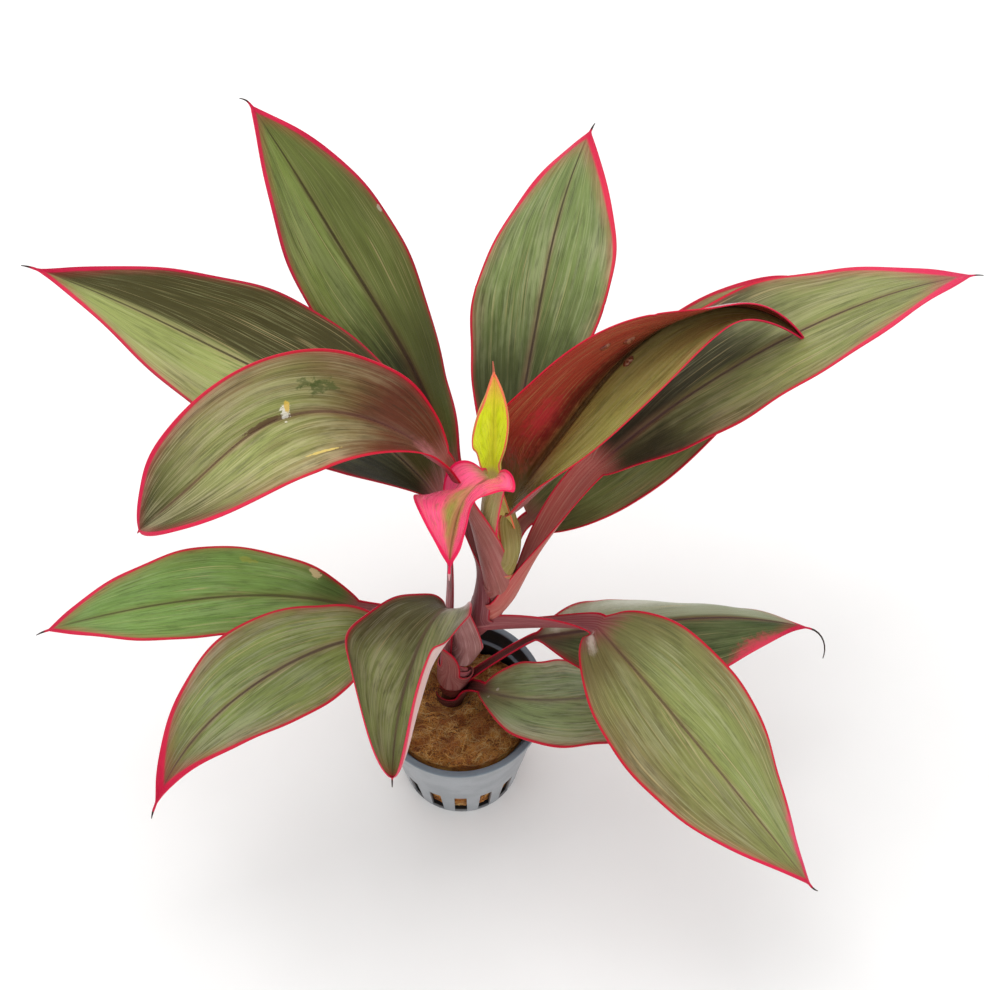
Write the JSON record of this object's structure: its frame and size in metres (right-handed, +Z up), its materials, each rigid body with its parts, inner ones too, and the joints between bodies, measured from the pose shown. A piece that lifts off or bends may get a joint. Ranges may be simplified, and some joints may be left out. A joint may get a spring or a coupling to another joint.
{
  "type": "potted ti plant",
  "caption": "Potted foliage plant: long arching strap leaves with red margins spread from a short cane in a small slotted grey net pot filled with growing fibre.",
  "frame": {"origin": "centre of the pot's flat underside", "axes": "+Z up, out of the pot; +X to the picture's right; +Y away from the picture's camera"},
  "size_m": [0.2499, 0.1756, 0.1936],
  "materials": {
    "pot": "satin cool grey moulded plastic",
    "moss": "loose orange-brown fibre",
    "cane": "ringed brown-green bark",
    "leaf_green": "satin olive green blade with crimson margin",
    "leaf_bronze": "satin bronze-red blade with crimson margin",
    "leaf_pink": "satin hot pink young blade",
    "leaf_spear": "satin yellow-green unopened blade with pink margin"
  },
  "bodies": {
    "root": {"net_pot": "pot", "moss_plug": "moss", "cane": "cane", "leaf_low_right": "leaf_green", "leaf_level_right": "leaf_green", "leaf_drooping_left": "leaf_green", "leaf_level_left": "leaf_green", "leaf_upper_left": "leaf_green", "leaf_over_pot": "leaf_green", "leaf_front_right": "leaf_green", "leaf_behind_right": "leaf_green", "leaf_long_right": "leaf_green", "leaf_arching_left": "leaf_bronze", "leaf_back_left": "leaf_green", "leaf_back": "leaf_green", "leaf_young_bronze": "leaf_bronze", "leaf_young_pink": "leaf_pink", "leaf_spear": "leaf_spear"}
  },
  "joints": []
}
